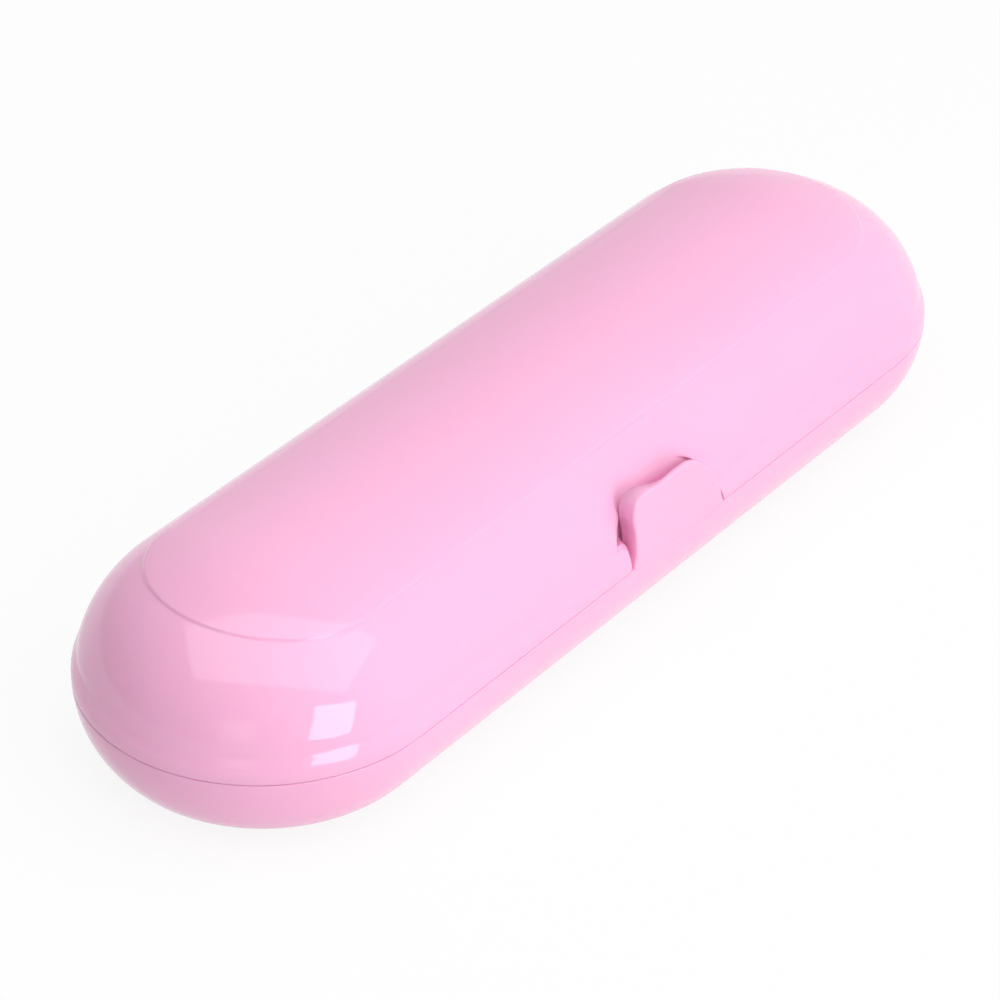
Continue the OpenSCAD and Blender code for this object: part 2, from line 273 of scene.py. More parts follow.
# Two moulded rims never close tight, and a hair of a gap is what draws the dark line round the case.
LID_FOOT = PARTING + 0.1
DOME_SLOPE, PANEL_SLOPE = 58.31, 61.26  # degrees from upright, where the panel's step starts and ends
lid_outside = walk((HALF_WIDTH, LID_FOOT + RIM_ROUND), 0, [
    (0.08, 0, 1), (0.42, 0, 1), (2.2, 22, 8), (1.6, 27, 5), (0.9, 11, 6), (2.0, 21.7, 4),
    (7.486, 40, 12), (7.558, DOME_SLOPE, 12),
])
band_top = 15
print("band ends at", [round(v, 2) for v in lid_outside[band_top]],
      "dome reaches", [round(v, 2) for v in lid_outside[-1]])

# %% The panel's step, the crown and the inside
# The dome is two arcs that meet at JOIN degrees: a tight shoulder and a wide crown. The panel lies
# PANEL_RISE outside both, and the inside lies a wall's thickness under them.
SHOULDER, SHOULDER_R = (9.68, 13.84), 24.5
CROWN, CROWN_R = (0, -13.5), 53.5
JOIN, PANEL_RISE = 70.5, 0.5
lid_outside += walk(lid_outside[-1], DOME_SLOPE, [(0.701, 16.95, 7), (0.701, PANEL_SLOPE, 7)])[1:]
lid_outside += arc(SHOULDER, SHOULDER_R + PANEL_RISE, PANEL_SLOPE, JOIN, 6)[1:]
lid_outside += arc(CROWN, CROWN_R + PANEL_RISE, JOIN, 90, 18)[1:]
lid_inside = arc(SHOULDER, SHOULDER_R - WALL, 6.75, JOIN, 34) + arc(CROWN, CROWN_R - WALL, JOIN, 90, 12)[1:]


def round_rim(outer, inner, level, up):
    """The rim between an outer and an inner foot, rounded at both corners. up is 1 where the wall rises."""
    r = RIM_ROUND
    turns = [math.radians(a) for a in (22.5, 45, 67.5, 90)]
    near = [(outer - r + r * math.cos(a), level + up * (r - r * math.sin(a))) for a in turns]
    far = [(inner + r - r * math.cos(a), level + up * (r - r * math.sin(a))) for a in reversed(turns)]
    return near + far


lid_rim = round_rim(lid_outside[0][0], lid_inside[0][0], LID_FOOT, 1)
print("lid wall:", len(lid_outside), "places outside,", len(lid_rim), "round the rim,",
      len(lid_inside), "inside")

# %% [markdown]
# ## Sweeping a wall round the case
# From above the case is a stadium: two straight sides and two round ends. A wall drawn once at one end
# of a straight side can be spun round that end, pulled along the back, spun round the other end and
# pulled along the front, until it meets its own start. Both sides are pulled in many short stretches
# near their middle, because the finger recess needs fine faces at the front.

# %% Sweep round the stadium
END_X = 72.8
RECESS_SPAN = 20
RECESS_COLUMNS = 44
recess_columns = [-RECESS_SPAN + 2 * RECESS_SPAN * i / RECESS_COLUMNS for i in range(RECESS_COLUMNS + 1)]


def sweep_wall(name, wall, side_stops):
    """Sweeps a wall of (distance out, height) round the stadium. side_stops are places along the sides."""
    shell = draw_line(name, [(END_X, -out, up) for out, up in wall])
    select_everything()
    along = [-END_X, *side_stops, END_X]
    for end, stops in ((END_X, along[::-1]), (-END_X, along)):
        bpy.ops.mesh.spin(steps=72, angle=-math.pi, center=(end * MM, 0, 0), axis=(0, 0, 1))
        for a, b in zip(stops, stops[1:]):
            pull((b - a, 0, 0))
    merge_and_face_out()
    return shell


lid = sweep_wall("lid_dome", lid_outside[::-1] + lid_rim + lid_inside, recess_columns)
print("lid swept:", len(lid.data.vertices), "places")

# %% [markdown]
# ## The raised panel's ends
# On the real lid the panel's round ends stop short of the dome's: the photograph shows its edge about
# 3 mm further in at the tip. Both ends are pulled in by moving the points of the crown along their own
# radius. The pull fades out to both sides of the step, which also gets a little lower towards the tip,
# where the photograph shows it fainter.

# %% Pull the panel's ends in
PANEL_HALF = 22.2
PANEL_PULL = 3.2
PULL_FROM, PULL_TO = 9, 32
PULL_SHARPNESS, STEP_DROP = 1.45, 0.4
CROWN_EDGE = 17.86  # where the shoulder meets the crown, out from the middle


def dome_height(out):
    """Height of the dome without its panel, at a distance out from the middle."""
    if out > CROWN_EDGE:
        return SHOULDER[1] + math.sqrt(SHOULDER_R ** 2 - (out - SHOULDER[0]) ** 2)
    return CROWN[1] + math.sqrt(CROWN_R ** 2 - out ** 2)


crown_mesh = bmesh.from_edit_mesh(lid.data)
pulled = 0
for point in crown_mesh.verts:
    x, y, z = (c / MM for c in point.co)
    out = math.hypot(abs(x) - END_X, y)
    if abs(x) <= END_X or not PULL_FROM < out < PULL_TO or z < dome_height(min(out, PULL_TO + 1)) - 0.3:
        continue
    angle = math.atan2(abs(y), abs(x) - END_X)
    limit = PULL_FROM if out < PANEL_HALF else PULL_TO
    fade = smooth((out - limit) / (PANEL_HALF - limit))
    moved = out - PANEL_PULL * max(math.cos(angle), 0) ** PULL_SHARPNESS * fade
    rise = z - dome_height(out)
    point.co.x = math.copysign(END_X + moved * math.cos(angle), x) * MM
    point.co.y = math.copysign(moved * math.sin(angle), y) * MM
    point.co.z = (dome_height(moved) + rise * (1 - STEP_DROP * max(math.cos(angle), 0) * fade)) * MM
    pulled += 1
bmesh.update_edit_mesh(lid.data)
print("pulled", pulled, "places; the tip moved in by", PANEL_PULL, "mm")

# %% [markdown]
# ## The finger recess
# Behind the tongue a fingertip needs room, so the lid is scooped there: an arch above the rim band with
# an upright side at the left, which fades into the dome at its top, and a notch through the band for
# the tongue to stand in. A boolean cut would leave a hard edge and ragged faces. Instead the faces in
# front of the arch are taken out, and the open edge is extruded inwards ring after ring: over the dome
# to the arch's line, round a soft edge, down the side, round the foot, and across the recess's floor.
# The same rings run along the inside of the wall at the same time, so the shell stays closed.

# %% The line of the arch and the notch, seen from the front
ARCH_X, ARCH_A, ARCH_B = -0.8, 14.25, 10.8
BAND_TOP = 20.7
RIM_FOOT = LID_FOOT + RIM_ROUND


def smooth_curve(points, steps):
    """A smooth line through every point."""
    line = []
    for i in range(len(points) - 1):
        p0, p1, p2, p3 = (points[max(0, min(j, len(points) - 1))] for j in (i - 1, i, i + 1, i + 2))
        for k in range(steps):
            t = k / steps
            line.append(tuple(
                b + t * (c - a) / 2 + t * t * (a - 2.5 * b + 2 * c - d / 2)
                + t ** 3 * (-a / 2 + 1.5 * b - 1.5 * c + d / 2) for a, b, c, d in zip(p0, p1, p2, p3)))
    return line + [tuple(points[-1])]


def spread(points, lengths):
    """Places at the given lengths along a line of points."""
    run = [0.0]
    for (ax, az), (bx, bz) in zip(points, points[1:]):
        run.append(run[-1] + math.hypot(bx - ax, bz - az))
    places, i = [], 0
    for want in lengths:
        want = min(max(want, 0), run[-1])
        while i < len(run) - 2 and run[i + 1] < want:
            i += 1
        t = (want - run[i]) / (run[i + 1] - run[i])
        places.append(tuple(a + (b - a) * t for a, b in zip(points[i], points[i + 1])))
    return places, run[-1]


def left_arch(grow, first):
    """The left half of the arch, from the angle first up to its top. grow moves it outwards."""
    turns = [math.radians(a) for a in range(first, 89, -1)]
    return [(ARCH_X + (ARCH_A + grow) * math.cos(a), BAND_TOP + (ARCH_B + grow) * math.sin(a)) for a in turns]


# The band's end is rounded at its top, and a short ledge leads from it to the arch's crisp left corner.
turns = [math.radians(9 * i) for i in range(11)]
band_end = [(-12.45, RIM_FOOT), (-12.45, 18.0)]
band_end += [(-13.95 + 1.5 * math.cos(a), 19.8 + 1.5 * math.sin(a)) for a in turns]
band_end += [(-14.5, 21.3)]
band_end += [(-14.55 - 0.45 * math.sin(a), 21.75 - 0.45 * math.cos(a)) for a in turns]
# The right side follows the tongue closely, so that only a hair of a gap shows there.
right_side = [(-0.8, 31.5), (2.5, 30.7), (6.3, 29.0), (9.5, 27.3), (11.45, 25.65), (12.7, 23.85),
              (13.87, 21.75), (15.22, 18.4), (15.86, RIM_FOOT)]
right_behind = [(-0.8, 33.3), (2.9, 33.0), (7.3, 31.7), (10.9, 29.6), (13.2, 27.2), (15.8, 22.7),
                (17.3, 18.9), (17.92, RIM_FOOT)]
front_line = band_end + left_arch(0, 173) + smooth_curve(right_side, 12)[1:]
back_line = [(-17.1, RIM_FOOT + i) for i in range(4)] + left_arch(WALL, 179)
back_line += smooth_curve(right_behind, 12)[1:]
print("arch line starts", front_line[0], "and ends", front_line[-1])

# %% Take the faces out and number the open edge
OPEN_TOP_OUTSIDE, OPEN_TOP_INSIDE = 33.4, 34.2
SAME_PLACE = 0.004
top_outside = next(i for i, (out, up) in enumerate(lid_outside) if up > OPEN_TOP_OUTSIDE)
top_inside = next(i for i, (out, up) in enumerate(lid_inside) if up > OPEN_TOP_INSIDE)


def side_of(point):
    """Says whether a point of the straight front lies on the lid's outside, inside or rim, and its row."""
    out, up = -point.co.y / MM, point.co.z / MM
    for side, rows in (("outside", lid_outside), ("inside", lid_inside), ("rim", lid_rim)):
        for row, (o, u) in enumerate(rows):
            if abs(o - out) < SAME_PLACE and abs(u - up) < SAME_PLACE:
                return side, row
    return None, 0


shell = bmesh.from_edit_mesh(lid.data)
near_front = {v: side_of(v) for v in shell.verts
              if abs(v.co.x) < (RECESS_SPAN + 0.01) * MM and v.co.y < -15 * MM}
limits = {"outside": top_outside, "inside": top_inside, "rim": 99, None: -1}
for face in shell.faces:
    face.select = all(v in near_front and near_front[v][1] <= limits[near_front[v][0]] for v in face.verts)
print("faces taken out:", sum(f.select for f in shell.faces))
bpy.ops.mesh.delete(type="FACE")



def stops_round(top):
    """The open edge's places, as (x, row): up the left side, along the row top, and down the right."""
    left = [(-RECESS_SPAN, row) for row in range(top)]
    right = [(RECESS_SPAN, row) for row in reversed(range(top))]
    return left + [(x, top) for x in recess_columns] + right


shell = bmesh.from_edit_mesh(lid.data)
stop_layer = shell.verts.layers.int.new("stop")
outer_stops, inner_stops = stops_round(top_outside), stops_round(top_inside)
rim_rows = range(len(lid_rim))
stops = [("outside", x, row) for x, row in outer_stops] + [("inside", x, row) for x, row in inner_stops]
stops += [("rim", x, row) for x in (-RECESS_SPAN, RECESS_SPAN) for row in rim_rows]
number = {(side, round(x, 2), row): i for i, (side, x, row) in enumerate(stops)}
for edge in shell.edges:
    edge.select_set(edge.is_boundary)
    for v in edge.verts if edge.is_boundary else ():
        side, row = side_of(v)
        v[stop_layer] = number[(side, round(v.co.x / MM, 2), row)] + 1
bmesh.update_edit_mesh(lid.data)
found = len({v[stop_layer] for v in shell.verts if v[stop_layer]})
print("open edge:", found, "places of", len(stops))

# %% Where each ring lies
EDGE_ROUND, FOOT_ROUND, DRAFT = 0.32, 0.4, 0.12
FLOOR_FOOT, FLOOR_DEEP, FLOOR_BEND = 30.0, 29.3, 8.0
FLOOR_MIDDLE, FLOOR_RISE = 0.4, 6.5
# The floor comes up into the dome where the arch is high, and partly so at its left corner.
LIFT_FROM, LIFT_RISE, LIFT_FADE = 26, 5.8, 6.5
CORNER_LIFT, CORNER_X, CORNER_FADE = 0.8, -9, 2.2


def reach(rows, up):
    """Distance out of a wall at a height."""
    for (a_out, a_up), (b_out, b_up) in zip(rows, rows[1:]):
        if up <= b_up:
            return a_out + (b_out - a_out) * max(0, (up - a_up) / (b_up - a_up))
    return rows[-1][0]


def floor_out(up):
    """Distance out of the recess's floor at a height."""
    return max(FLOOR_DEEP, FLOOR_FOOT - (FLOOR_FOOT - FLOOR_DEEP) * (up - PARTING) / FLOOR_BEND)


def ring_weights():
    """Each ring as (kind, share), from the open edge to the middle of the floor."""
    over = [("over", 1 - (1 - i / 8) ** 1.6) for i in range(1, 9)]
    edge = [("edge", math.radians(a)) for a in (18, 36, 54, 72, 90)]
    side = [("side", t) for t in (0.33, 0.67, 1)]
    foot = [("foot", math.radians(a)) for a in (30, 60, 90)]
    floor = [("floor", t) for t in (0.03, 0.07, 0.12, 0.18, 0.25, 0.33, 0.43, 0.55, 0.7, 0.85, 1)]
    return over + edge + side + foot + floor


def lay_rings(stop_list, rows, line, lengths, behind, scooped):
    """For each stop, its place on every ring. rows is the wall it leaves, line the arch's line,
    lengths each stop's place along that line, and behind the wall's thickness for the inside."""
    aims, total = spread(line, lengths)
    ahead, _ = spread(line, [s + 0.35 for s in lengths])
    back, _ = spread(line, [s - 0.35 for s in lengths])
    n, all_rings = len(stop_list), []
    for i, ((x0, row), (ax, az)) in enumerate(zip(stop_list, aims)):
        up0 = rows[row][1]
        dx, dz = ahead[i][0] - back[i][0], ahead[i][1] - back[i][1]
        side_x, side_z = -dz, dx * smooth((az - RIM_FOOT) / 2.5)
        size = math.hypot(side_x, side_z)
        side_x, side_z = side_x / size, side_z / size
        lift = smooth((az - LIFT_FROM) / LIFT_RISE) if scooped else 0
        step_up = CORNER_LIFT * smooth((CORNER_X - ax) / 2) if scooped else 0
        count = min(i, n - 1 - i)
        middle = (FLOOR_MIDDLE, RIM_FOOT + FLOOR_RISE * min(1, count / row_count(rows)))

        def depth(up, into):
            """How far the floor lies behind the wall here, into mm inside the line."""
            flat = max(reach(rows, up) - floor_out(up) + behind, 0)
            at_top, at_corner = smooth(into / LIFT_FADE), smooth(into / CORNER_FADE)
            return flat * (1 - lift * (1 - at_top)) * (1 - step_up * (1 - at_corner))

        def at(offset):
            return ax + side_x * offset, az + side_z * offset

        places = []
        rounding = EDGE_ROUND - 0.2 * smooth((ax - 8) / 4)
        foot_x, foot_z = at(-DRAFT - FOOT_ROUND)
        side_depth = depth(foot_z, 0)
        edge_r, foot_r = min(rounding, 0.45 * side_depth), min(FOOT_ROUND, 0.45 * side_depth)
        for kind, t in ring_weights():
            if kind == "over":
                px, pz = at(rounding)
                x, up, sink = x0 + (px - x0) * t, up0 + (pz - up0) * t, 0
            elif kind == "edge":
                (x, up), sink = at(rounding * (1 - math.sin(t))), edge_r * (1 - math.cos(t))
            elif kind == "side":
                (x, up), sink = at(-DRAFT * t), edge_r + (side_depth - edge_r - foot_r) * t
            elif kind == "foot":
                x, up = at(-DRAFT - FOOT_ROUND * (1 - math.cos(t)))
                sink = side_depth - foot_r * (1 - math.sin(t))
            else:
                x, up = foot_x + (middle[0] - foot_x) * t, foot_z + (middle[1] - foot_z) * t
                sink = depth(up, math.hypot(x - foot_x, up - foot_z))
            places.append((x, -reach(rows, up) + sink, up))
        all_rings.append(places)
    return all_rings


def row_count(rows):
    """How many of a wall's rows the open edge runs past at each side."""
    return top_outside if rows is lid_outside else top_inside


def length_at(knots, row):
    """Length at a row, evenly between knots of (row, length)."""
    for (row_a, length_a), (row_b, length_b) in zip(knots, knots[1:]):
        if row <= row_b:
            return length_a + (length_b - length_a) * (row - row_a) / (row_b - row_a)
    return knots[-1][1]


def stop_lengths(rows, knots, total, right_foot):
    """How far along the arch's line each stop aims. The right side's knots lie right_foot further in."""
    right_knots = knots[:1] + [(row, length + right_foot) for row, length in knots[1:]]
    top = row_count(rows)
    left = [length_at(knots, row) for row in range(top)]
    right = [total - length_at(right_knots, row) for row in reversed(range(top))]
    start, end = length_at(knots, top), total - length_at(right_knots, top)
    middle = [start + (end - start) * i / RECESS_COLUMNS for i in range(RECESS_COLUMNS + 1)]
    return left + middle + right


corner = next(i for i, (x, z) in enumerate(front_line) if z > 21.4 and x < -14.8)
corner_length = sum(math.dist(a, b) for a, b in zip(front_line[:corner], front_line[1:corner + 1]))
front_total = spread(front_line, [0])[1]
back_total = spread(back_line, [0])[1]
RIGHT_BAND = 5.2  # length of the band's end at the right, where there is no corner
outer_knots = [(0, 0), (band_top, corner_length), (21, corner_length + 0.85), (25, corner_length + 2.8),
               (top_outside, corner_length + 12)]
outer_lengths = stop_lengths(lid_outside, outer_knots, front_total, RIGHT_BAND - corner_length)
inner_lengths = stop_lengths(lid_inside, [(0, 0), (top_inside, 17.5)], back_total, 0)
outer_rings = lay_rings(outer_stops, lid_outside, front_line, outer_lengths, 0, True)
inner_rings = lay_rings(inner_stops, lid_inside, back_line, inner_lengths, WALL, False)
print(len(outer_rings[0]), "rings; arch line", round(front_total, 1), "mm")

# %% Extrude the rings
def rim_place(outer, inner, row):
    """A place round the rim between the outer and the inner foot of a ring."""
    ox, oy, _ = outer
    ix, iy, _ = inner
    width = math.hypot(ix - ox, iy - oy)
    rim = round_rim(width, 0, LID_FOOT, 1)
    share = 1 - rim[row][0] / width
    return ox + (ix - ox) * share, oy + (iy - oy) * share, rim[row][1]


def ring_place(stop, ring):
    """Where a stop of the open edge lies on a ring, in mm."""
    if stop < len(outer_stops):
        return outer_rings[stop][ring]
    if stop < len(outer_stops) + len(inner_stops):
        return inner_rings[stop - len(outer_stops)][ring]
    side, x, row = stops[stop]
    end = 0 if x < 0 else -1
    return rim_place(outer_rings[end][ring], inner_rings[end][ring], row)


for ring in range(len(outer_rings[0])):
    pull((0, 0, 0))
    shell = bmesh.from_edit_mesh(lid.data)
    stop_layer = shell.verts.layers.int["stop"]
    for v in shell.verts:
        if v.select:
            v.co = Vector(ring_place(v[stop_layer] - 1, ring)) * MM
    bmesh.update_edit_mesh(lid.data)
merge_and_face_out()
bpy.ops.object.mode_set(mode="OBJECT")
bpy.ops.object.shade_smooth()
finish_piece(lid, "lid", glossy_shell, "lid_plastic", "lid_shell")

# %% [markdown]
# ## The lower shell
# The lower shell is a tray with soft lower corners. Seen from its end its side stands upright at the
# parting line, curves in slowly and then turns quickly under. That line is drawn once, outside, round
# the rim and back inside, and swept round the stadium like the lid. So the wall has its real thickness
# and both rims have small roundings, which soften the line where the halves meet.

# %% Sweep the lower shell
SIDE_CENTRE, SIDE_RADIUS = (14.27, PARTING), 19.73
CORNER_CENTRE, CORNER_RADIUS = (22, 9.5), 9.5
TRAY_JOIN = -40.9  # where the side's arc meets the corner's, in degrees
tray_outside = arc(SIDE_CENTRE, SIDE_RADIUS, -0.58, TRAY_JOIN, 16)
tray_outside += arc(CORNER_CENTRE, CORNER_RADIUS, TRAY_JOIN, -90, 14)[1:]
tray_outside += [(14, 0), (7, 0), (0, 0)]
tray_inside = arc(SIDE_CENTRE, SIDE_RADIUS - WALL, -0.64, TRAY_JOIN, 12)
tray_inside += arc(CORNER_CENTRE, CORNER_RADIUS - WALL, TRAY_JOIN, -90, 10)[1:]
tray_inside += [(14, WALL), (7, WALL), (0, WALL)]
tray_rim = round_rim(HALF_WIDTH, HALF_WIDTH - WALL, PARTING, -1)
tray_columns = [-46, -20, 0, 20, 46]
tray = sweep_wall("tray_shell", tray_outside[::-1] + tray_rim + tray_inside, tray_columns)
bpy.ops.object.mode_set(mode="OBJECT")
bpy.ops.object.shade_smooth()
finish_piece(tray, "base", glossy_shell, "base_plastic", "base_shell")

# %% [markdown]
# ## The latch tongue
# The tongue is a wavy leaf of the same plastic that stands on the tray's rim, flush with its side. It
# has one high lobe at the left and one broad shoulder that runs down to the right, so its outline is
# drawn as a smooth curve through a few points. It is filled, pulled back to its thickness, and its edge
# is rounded generously at the front, where a finger meets it. Its foot reaches a little below the rim,
# so that no line shows between the two. A small wedge behind it hooks over the lid.

# %% Plates and roundings
def cut_plate(name, outline, across):
    """Draws a closed outline, fills it and pulls it across, all in mm. Stays in edit mode."""
    plate = draw_line(name, outline)
    select_everything()
    bpy.ops.mesh.edge_face_add()
    select_everything()
    pull(across)
    merge_and_face_out(0.0001)
    return plate


def round_edges(piece, width, segments, wanted):
    """Rounds the edges for which wanted(edge) is true, in edit mode."""
    mesh = bmesh.from_edit_mesh(piece.data)
    bpy.ops.mesh.select_all(action="DESELECT")
    for edge in mesh.edges:
        if wanted(edge):
            edge.select_set(True)
    bmesh.update_edit_mesh(piece.data)
    bpy.ops.mesh.bevel(offset=width * MM, segments=segments, profile=0.5, affect="EDGES")


def lies_across(edge):
    """Whether an edge lies in a plane across the case, so on the outline of a plate's face."""
    return abs(edge.verts[0].co.x - edge.verts[1].co.x) < 1e-7


def even_normals(piece):
    """Keeps flat faces flat and lets only their roundings shade smoothly."""
    leave_edit_mode()
    bpy.ops.object.shade_smooth()
    piece.modifiers.new("even_normals", "WEIGHTED_NORMAL").keep_sharp = False
    bpy.ops.object.modifier_apply(modifier="even_normals")


# %% Draw the tongue
LATCH_X, TAB_HALF, TAB_HEIGHT, TAB_FRONT, TAB_BACK = 0.4, 13.6, 15, -34, -31.6
TAB_FOOT = PARTING - RIM_ROUND - 0.005
RIM_DEPTH, TIP_TAPER = 3.4, 0.1
tab_shares = [(-0.88, 0), (-0.84, 0.17), (-0.86, 0.45), (-0.925, 0.74), (-0.88, 0.93), (-0.68, 1.01),
              (-0.36, 0.97), (-0.02, 0.99), (0.30, 0.97), (0.56, 0.84), (0.80, 0.62), (0.98, 0.36),
              (1.08, 0.14), (1.13, 0)]
tab_edge = [(LATCH_X + u * TAB_HALF, PARTING + v * TAB_HEIGHT) for u, v in smooth_curve(tab_shares, 7)]
tab_edge = [(tab_edge[0][0], TAB_FOOT)] + tab_edge + [(tab_edge[-1][0], TAB_FOOT)]
tongue = cut_plate("latch_tongue", [(x, TAB_FRONT, z) for x, z in tab_edge], (0, TAB_BACK - TAB_FRONT, 0))


def on_outline(y):
    """Picks the edges of the outline in the plane y, without the foot."""
    return lambda e: (all(abs(v.co.y - y * MM) < 1e-6 for v in e.verts)
                      and not all(v.co.z < (TAB_FOOT + 0.01) * MM for v in e.verts))


round_edges(tongue, 0.45, 5, on_outline(TAB_FRONT))
# The leaf thins towards its top. At its left it is deeper, because a rim runs down behind the lobe
# that the finger pulls.
tongue_mesh = bmesh.from_edit_mesh(tongue.data)
bpy.ops.mesh.select_all(action="DESELECT")
next(f for f in tongue_mesh.faces if f.normal.y > 0.99 and len(f.verts) > 20).select_set(True)
bmesh.update_edit_mesh(tongue.data)
bpy.ops.mesh.inset(thickness=1.1 * MM, depth=0)
tongue_mesh = bmesh.from_edit_mesh(tongue.data)
centre_face = next(f for f in tongue_mesh.faces if f.select)
outer = {v for v in tongue_mesh.verts if v.co.y > (TAB_BACK - 0.01) * MM} - set(centre_face.verts)
for v in [*centre_face.verts, *outer]:
    rise = v.co.z / MM - PARTING
    thick = TAB_BACK - TAB_FRONT - TIP_TAPER * rise
    if v in outer:
        thick += (RIM_DEPTH - thick) * smooth((-v.co.x / MM - 2) / 10) * smooth(rise / 2)
    v.co.y = (TAB_FRONT + thick) * MM
bmesh.update_edit_mesh(tongue.data)
even_normals(tongue)
print("tongue rises", TAB_HEIGHT, "mm and is", TAB_BACK - TAB_FRONT, "mm thick")

# %% Its hook, joined on
HOOK_ROOT, HOOK_TIP, HOOK_WIDTH = -32.9, -30.4, 12
hook_line = [(HOOK_ROOT, 23.2), (HOOK_TIP, 23.2), (HOOK_TIP, 24.0), (HOOK_ROOT, 27.0)]
hook = cut_plate("latch_hook", [(LATCH_X - HOOK_WIDTH / 2, y, z) for y, z in hook_line], (HOOK_WIDTH, 0, 0))
round_edges(hook, 0.2, 3, lambda e: all(v.co.y > (HOOK_TIP - 0.6) * MM for v in e.verts) or lies_across(e))
even_normals(hook)
bpy.context.view_layer.objects.active = tongue
tongue.select_set(True)
bpy.ops.object.join()
finish_piece(tongue, "", glossy_shell, "base_plastic", "latch_tab")
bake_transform(tongue)

# %% [markdown]
# ## Lip, shelf and strike wall
# A thin lip inside the tray's rim guides the lid. It is swept round the same stadium, but it stops at
# both sides of the latch, where a shelf closes the space under the recess. The lid's strike wall stands
# behind the tongue: the wedge on the tongue snaps over its top edge.

# %% Sweep the lip with a gap at the front
LIP_STOPS = (19.0, -18.2)
lip_wall = [(32.4, 14.2), (32.4, 16.1), (31.85, 16.1), (31.85, 17.2), (31.75, 17.36), (31.6, 17.4),
            (31.1, 17.4), (30.95, 17.36), (30.85, 17.2), (30.85, 14.35), (31.0, 14.2)]
lip = draw_line("tray_lip", [(LIP_STOPS[0], -out, up) for out, up in lip_wall + lip_wall[:1]])
select_everything()
pull((END_X - LIP_STOPS[0], 0, 0))
bpy.ops.mesh.spin(steps=48, angle=-math.pi, center=(END_X * MM, 0, 0), axis=(0, 0, 1))
pull((-2 * END_X, 0, 0))
bpy.ops.mesh.spin(steps=48, angle=-math.pi, center=(-END_X * MM, 0, 0), axis=(0, 0, 1))
pull((END_X + LIP_STOPS[1], 0, 0))
select_everything()
bpy.ops.mesh.remove_doubles(threshold=0.001 * MM)
lip_mesh = bmesh.from_edit_mesh(lip.data)
for stop in LIP_STOPS:
    bpy.ops.mesh.select_all(action="DESELECT")
    for edge in lip_mesh.edges:
        edge.select_set(edge.is_boundary and all(abs(v.co.x - stop * MM) < 1e-6 for v in edge.verts))
    bmesh.update_edit_mesh(lip.data)
    bpy.ops.mesh.edge_face_add()
    lip_mesh = bmesh.from_edit_mesh(lip.data)
merge_and_face_out()
even_normals(lip)
finish_piece(lip, "base", satin_inside, "base_plastic")

# %% Shelf and strike wall
SHELF_BACK = -28.2
shelf_line = [(-32.6, 14.3), (-32.6, 16.17), (SHELF_BACK, 16.17), (SHELF_BACK, 14.2)]
shelf = cut_plate("latch_shelf", [(LIP_STOPS[1], y, z) for y, z in shelf_line],
                  (LIP_STOPS[0] - LIP_STOPS[1], 0, 0))
round_edges(shelf, 0.3, 3, lambda e: all(v.co.y > (SHELF_BACK - 0.1) * MM for v in e.verts))
even_normals(shelf)
finish_piece(shelf, "base", satin_inside, "base_plastic")
STRIKE_FRONT, STRIKE_BACK, STRIKE_TOP, STRIKE_WIDTH = -31.3, -29.1, 22.9, 14
strike_line = [(STRIKE_FRONT, 16.25), (STRIKE_FRONT, STRIKE_TOP), (STRIKE_BACK, STRIKE_TOP),
               (STRIKE_BACK, 16.25)]
strike = cut_plate("strike_wall", [(LATCH_X - STRIKE_WIDTH / 2, y, z) for y, z in strike_line],
                   (STRIKE_WIDTH, 0, 0))
round_edges(strike, 0.35, 3, lambda e: all(v.co.z > (STRIKE_TOP - 0.1) * MM for v in e.verts)
            or all(v.co.y < (STRIKE_FRONT + 0.1) * MM for v in e.verts))
even_normals(strike)
finish_piece(strike, "lid", satin_inside, "lid_plastic")

# %% [markdown]
# ## Hinges
# At the back each hinge has three knuckles round a steel pin: two hang on the tray and one stands on the
# lid. A knuckle is a ring that runs out into a foot. Its end face is drawn as two loops, outline and
# bore, which a bridge joins. It is then pulled along the pin and its edges are rounded. One knuckle of
# each kind is made, and the others are copies with a mesh of their own.

# %% Draw a knuckle
AXIS_OUT, BARREL, HINGE_X = 36.9, 2.6, 46
HINGE_LENGTH, TRAY_KNUCKLE, LID_KNUCKLE = 22, 5.7, 10
PIN_RADIUS, PRESS_FIT, LOOSE_FIT = 1.0, 0.01, 0.06


def make_knuckle(name, start, length, bore, up):
    """A knuckle about the hinge axis. Its foot runs up (1) or down (-1) the wall."""
    foot = [(34.35, PARTING), (32.7, PARTING), (32.7, PARTING + up * 5.2), (35.0, PARTING + up * 3.75)]
    turns = [math.radians(105 - 11 * i) for i in range(27)]
    outline = foot + [(AXIS_OUT + BARREL * math.cos(a), PARTING + up * BARREL * math.sin(a)) for a in turns]
    knuckle = draw_line(name, [(start, y, z) for y, z in outline + outline[:1]])
    bpy.ops.object.mode_set(mode="OBJECT")
    bpy.ops.mesh.primitive_circle_add(vertices=32, radius=bore * MM, rotation=(0, math.pi / 2, 0),
                                      location=(start * MM, AXIS_OUT * MM, PARTING * MM))
    bpy.ops.object.transform_apply()
    knuckle.select_set(True)
    bpy.context.view_layer.objects.active = knuckle
    bpy.ops.object.join()
    bpy.ops.object.mode_set(mode="EDIT")
    select_everything()
    bpy.ops.mesh.remove_doubles(threshold=0.0005 * MM)
    select_everything()
    bpy.ops.mesh.bridge_edge_loops()
    select_everything()
    pull((length, 0, 0))
    merge_and_face_out(0.0005)
    ends = (start, start + length)

    def on_rim(edge):
        """Picks the outline's edges at both ends, and leaves the bore sharp."""
        flat = any(all(abs(v.co.x - end * MM) < 1e-7 for v in edge.verts) for end in ends)
        far = all(math.hypot(v.co.y - AXIS_OUT * MM, v.co.z - PARTING * MM) > 1.5 * MM for v in edge.verts)
        return flat and far and edge.calc_face_angle(0) > 1.2

    round_edges(knuckle, 0.25, 2, on_rim)
    even_normals(knuckle)
    return knuckle


